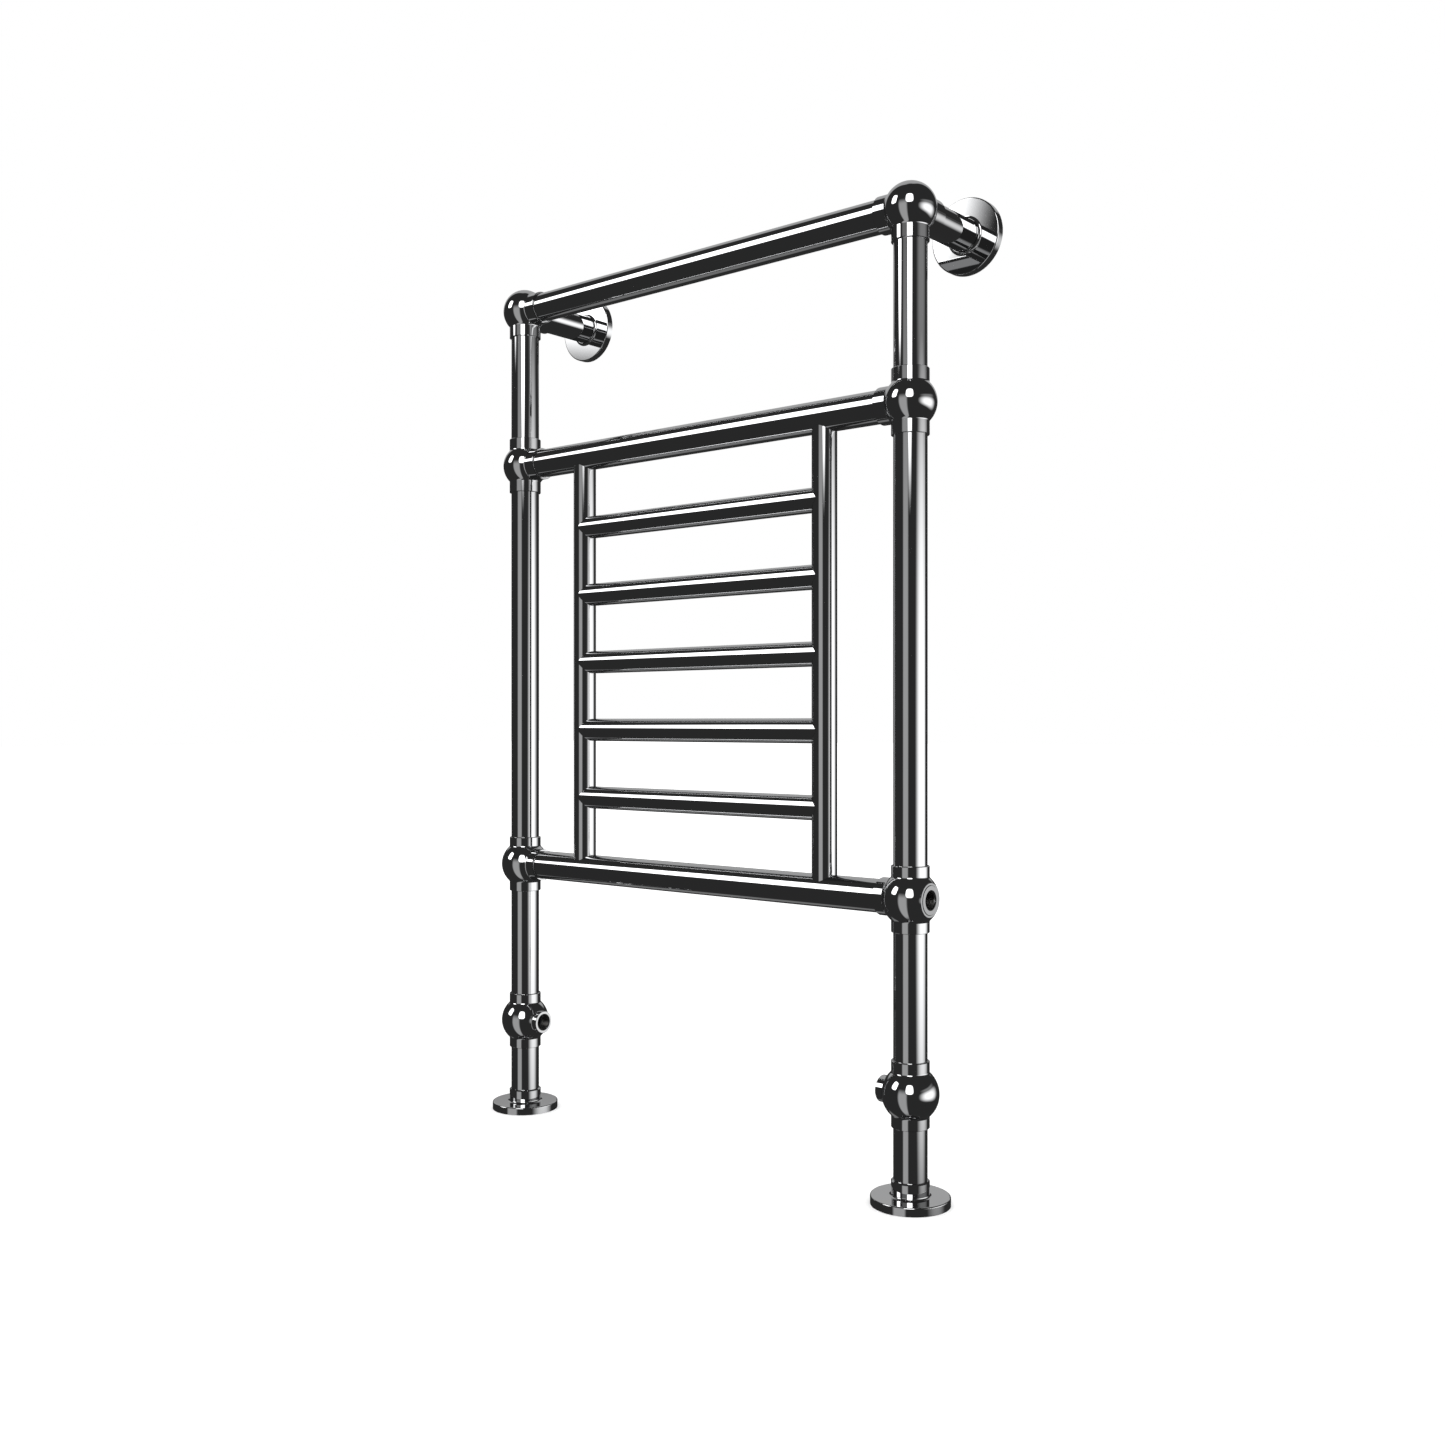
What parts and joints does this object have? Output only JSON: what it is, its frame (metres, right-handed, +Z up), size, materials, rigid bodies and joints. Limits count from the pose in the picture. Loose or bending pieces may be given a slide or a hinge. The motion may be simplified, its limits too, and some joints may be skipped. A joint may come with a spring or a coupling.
{
  "type": "towel radiator",
  "caption": "Floor-standing ball-jointed chrome towel radiator with rails, a rung ladder, wall stays, sliding cover flanges and half-inch valve ports.",
  "frame": {"origin": "on the floor, midway between the two posts and midway from the front of the floor covers to the wall face", "axes": "+Z up along the posts, +Y back to the wall, +X from the left post to the right post, whose bottom ball has the element port"},
  "size_m": [0.7208, 0.1722, 1.1507],
  "materials": {
    "chrome": "polished",
    "plated_steel": "satin",
    "screw_steel": "satin",
    "rubber": "matte",
    "brass": "satin"
  },
  "bodies": {
    "frame": {"top_ball_left": "chrome", "top_ball_right": "chrome", "middle_ball_left": "chrome", "middle_ball_right": "chrome", "bottom_ball_left": "chrome", "bottom_ball_right": "chrome", "valve_ball_left": "chrome", "valve_ball_right": "chrome", "upper_post_left": "chrome", "upper_post_right": "chrome", "main_post_left": "chrome", "main_post_right": "chrome", "leg_left": "chrome", "leg_right": "chrome", "foot_tube_left": "chrome", "foot_tube_right": "chrome", "wall_arm_left": "chrome", "wall_arm_right": "chrome", "ladder_stile_left": "chrome", "ladder_stile_right": "chrome", "foot_plate_left": "plated_steel", "foot_plate_right": "plated_steel", "foot_set_screw_left": "screw_steel", "foot_set_screw_right": "screw_steel", "wall_plate_left": "plated_steel", "wall_plate_right": "plated_steel", "wall_set_screw_left": "screw_steel", "wall_set_screw_right": "screw_steel", "top_rail": "chrome", "middle_rail": "chrome", "bottom_rail": "chrome", "vent_plug": "chrome", "vent_seal": "rubber", "rung_1": "chrome", "rung_2": "chrome", "rung_3": "chrome", "rung_4": "chrome", "rung_5": "chrome"},
    "floor_cover_left": {"floor_cover_left": "chrome", "floor_cover_ring_left": "rubber"},
    "wall_cover_left": {"wall_cover_left": "chrome", "wall_cover_ring_left": "rubber"},
    "floor_cover_right": {"floor_cover_right": "chrome", "floor_cover_ring_right": "rubber"},
    "wall_cover_right": {"wall_cover_right": "chrome", "wall_cover_ring_right": "rubber"},
    "bleed_screw": {"bleed_screw": "brass"}
  },
  "joints": [
    {"name": "floor_cover_left_slide", "type": "slide", "parent": "frame", "child": "floor_cover_left", "axis": [0, 0, 1], "range_m": [0, 0.057]},
    {"name": "floor_cover_right_slide", "type": "slide", "parent": "frame", "child": "floor_cover_right", "axis": [0, 0, 1], "range_m": [0, 0.057]},
    {"name": "wall_cover_left_slide", "type": "slide", "parent": "frame", "child": "wall_cover_left", "axis": [0, -1, 0], "range_m": [0, 0.072]},
    {"name": "wall_cover_right_slide", "type": "slide", "parent": "frame", "child": "wall_cover_right", "axis": [0, -1, 0], "range_m": [0, 0.072]},
    {"name": "bleed_screw_turn", "type": "hinge", "parent": "frame", "child": "bleed_screw", "pos_m": [-0.35055, -0.0414, 1.106], "axis": [-1, 0, 0], "range_deg": [0, 360]}
  ]
}
